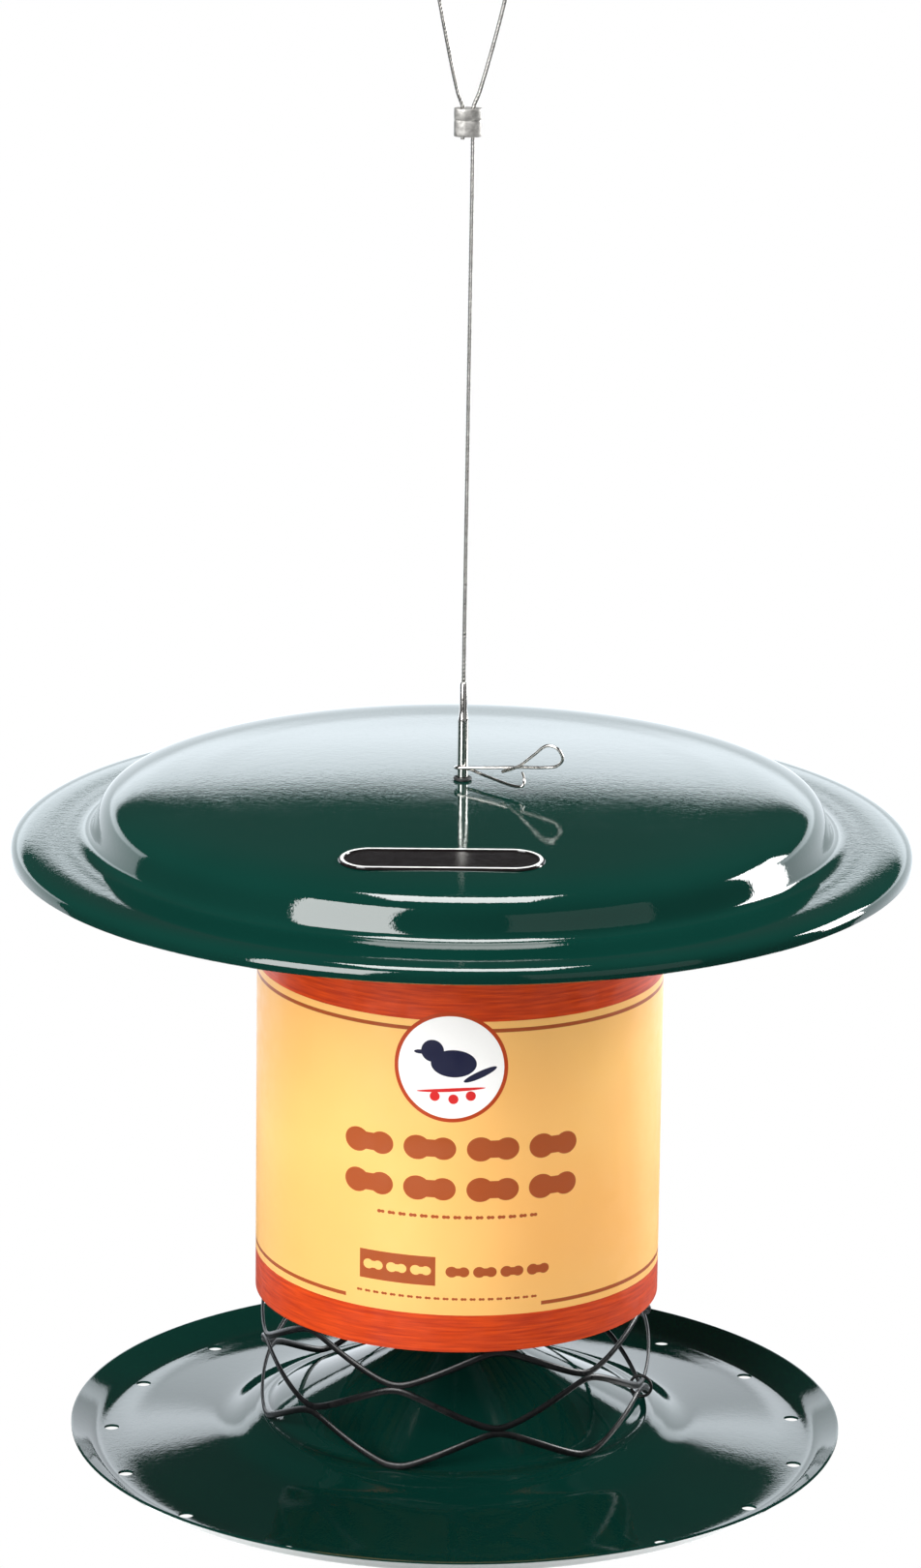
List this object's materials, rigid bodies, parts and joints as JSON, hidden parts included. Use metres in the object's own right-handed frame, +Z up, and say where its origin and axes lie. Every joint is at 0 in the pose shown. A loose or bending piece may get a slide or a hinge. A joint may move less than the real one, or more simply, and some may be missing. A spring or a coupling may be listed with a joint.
{
  "type": "hanging bird feeder",
  "caption": "Hanging mesh bird feeder: round metal roof that lifts on a rod and cable, lattice seed cylinder with a label wrap, round tray with drain holes.",
  "frame": {"origin": "where the cable's loop bears on the hook that carries the feeder", "axes": "+Z up along the rod, away from the tray; -Y towards the badge on the roof"},
  "size_m": [0.343, 0.343, 0.6116],
  "materials": {
    "cable_steel": "bright stranded wire rope",
    "sleeve_aluminium": "matt, marked by the crimping dies",
    "rod_steel": "drawn stainless tube",
    "fixing_steel": "zinc plated",
    "green_enamel": "deep green gloss powder coat",
    "magnet_nickel": "nickel plated",
    "grommet_rubber": "matt black",
    "badge_plastic": "black with a pale border line",
    "clip_steel": "bright spring wire",
    "black_coated_mesh": "black satin powder coat on expanded steel",
    "black_tie_wire": "black coated wire",
    "printed_paper": "coated paper, satin print"
  },
  "bodies": {
    "hanger": {"hanging_cable": "cable_steel", "crimp_ferrule": "sleeve_aluminium", "hanger_rod": "rod_steel", "washer_upper": "fixing_steel", "nut_upper": "fixing_steel", "washer_lower": "fixing_steel", "nut_lower": "fixing_steel", "tray": "green_enamel", "tray_magnet_1": "magnet_nickel", "tray_magnet_2": "magnet_nickel", "tray_magnet_3": "magnet_nickel"},
    "slider": {"roof_grommet": "grommet_rubber"},
    "roof_shell": {"roof_crown": "green_enamel", "roof_brim": "green_enamel", "roof_badge": "badge_plastic", "roof_magnet_1": "magnet_nickel", "roof_magnet_2": "magnet_nickel", "roof_magnet_3": "magnet_nickel"},
    "clip": {"retaining_clip": "clip_steel"},
    "lattice": {"lattice_cylinder": "black_coated_mesh", "seam_tie_1": "black_tie_wire", "seam_tie_2": "black_tie_wire", "label_wrap": "printed_paper"}
  },
  "joints": [
    {"name": "roof_lift", "type": "slide", "parent": "hanger", "child": "slider", "axis": [0, 0, 1], "range_m": [0, 0.2]},
    {"name": "roof_spin", "type": "hinge", "parent": "slider", "child": "roof_shell", "pos_m": [0, 0, -0.3439], "axis": [0, 0, 1], "continuous": true},
    {"name": "clip_swivel", "type": "hinge", "parent": "slider", "child": "clip", "pos_m": [0, 0, -0.3385], "axis": [0, 0, 1], "continuous": true},
    {"name": "lattice_lift", "type": "slide", "parent": "hanger", "child": "lattice", "axis": [0, 0, 1], "range_m": [0, 0.1]}
  ],
  "couplings": [
    {"joint": "lattice_lift", "follows": "roof_lift", "ratio": 0.5}
  ]
}
